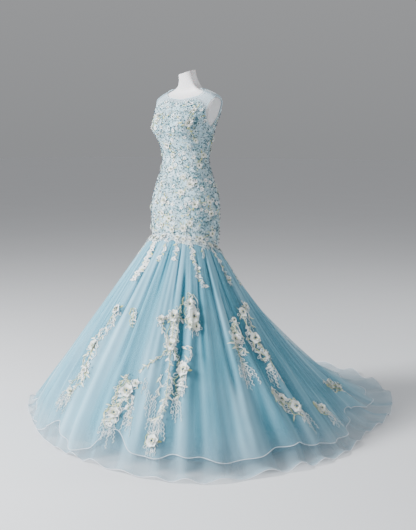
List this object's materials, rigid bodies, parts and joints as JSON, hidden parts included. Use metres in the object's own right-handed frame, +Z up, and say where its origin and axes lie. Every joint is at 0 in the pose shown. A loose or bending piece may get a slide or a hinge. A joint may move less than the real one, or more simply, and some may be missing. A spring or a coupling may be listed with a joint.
{
  "type": "mermaid evening gown on a dress form",
  "caption": "Sleeveless floor-length mermaid gown of beaded lace and gathered tulle with a short train, standing on a limbless dress form with a pole and a round base.",
  "frame": {"origin": "centre of the round base plate's underside, on the floor under the pole's axis", "axes": "+Z up along the pole; -Y is the way the gown faces; +X is the wearer's left; the train lies towards +Y"},
  "size_m": [1.6742, 1.8948, 1.5597],
  "materials": {
    "form": "smooth satin white moulded shell",
    "stand": "plain satin steel pole and round base plate",
    "lace": "beaded ice-blue corded lace over a teal lining",
    "placket": "plain ice-blue satin strip",
    "yoke": "sheer fine tulle with scattered beads",
    "over_tulle": "sheer ice-blue tulle with a rolled hem",
    "under_tulle": "sheer grey-blue tulle with a bright edge",
    "lining": "soft satin teal-blue lining",
    "spray": "ivory lace sprays with small blue and green beads",
    "applique": "ivory raised lace flowers with beaded centres"
  },
  "bodies": {
    "root": {"back_placket": "placket", "bodice_back_left": "lace", "bodice_back_right": "lace", "bodice_front": "lace", "form_arm_plate_left": "form", "form_arm_plate_right": "form", "form_base": "stand", "form_pole": "stand", "form_torso": "form", "lace_back_hip_left": "applique", "lace_back_hip_right": "applique", "lace_back_rib_left": "applique", "lace_back_rib_right": "applique", "lace_back_waist_left": "applique", "lace_back_waist_right": "applique", "lace_chest_left": "applique", "lace_chest_right": "applique", "lace_edge_front": "applique", "lace_edge_left": "applique", "lace_edge_right": "applique", "lace_hip_front": "applique", "lace_hip_left": "applique", "lace_hip_right": "applique", "lace_rib_front": "applique", "lace_rib_left": "applique", "lace_rib_right": "applique", "lace_waist_left": "applique", "lace_waist_right": "applique", "skirt_lining_back": "lining", "skirt_lining_front": "lining", "skirt_lining_left": "lining", "skirt_lining_right": "lining", "skirt_over_back": "over_tulle", "skirt_over_front": "over_tulle", "skirt_over_left": "over_tulle", "skirt_over_right": "over_tulle", "skirt_under_back": "under_tulle", "skirt_under_front": "under_tulle", "skirt_under_left": "under_tulle", "skirt_under_right": "under_tulle", "spray_back_left": "spray", "spray_back_right": "spray", "spray_front": "spray", "spray_hem": "spray", "spray_left": "spray", "spray_left_far": "spray", "spray_left_inner": "spray", "spray_left_low": "spray", "spray_low": "spray", "spray_right": "spray", "spray_side_right": "spray", "spray_small_front": "spray", "spray_train_left": "spray", "yoke_back_left": "yoke", "yoke_back_right": "yoke", "yoke_front": "yoke"}
  },
  "joints": []
}
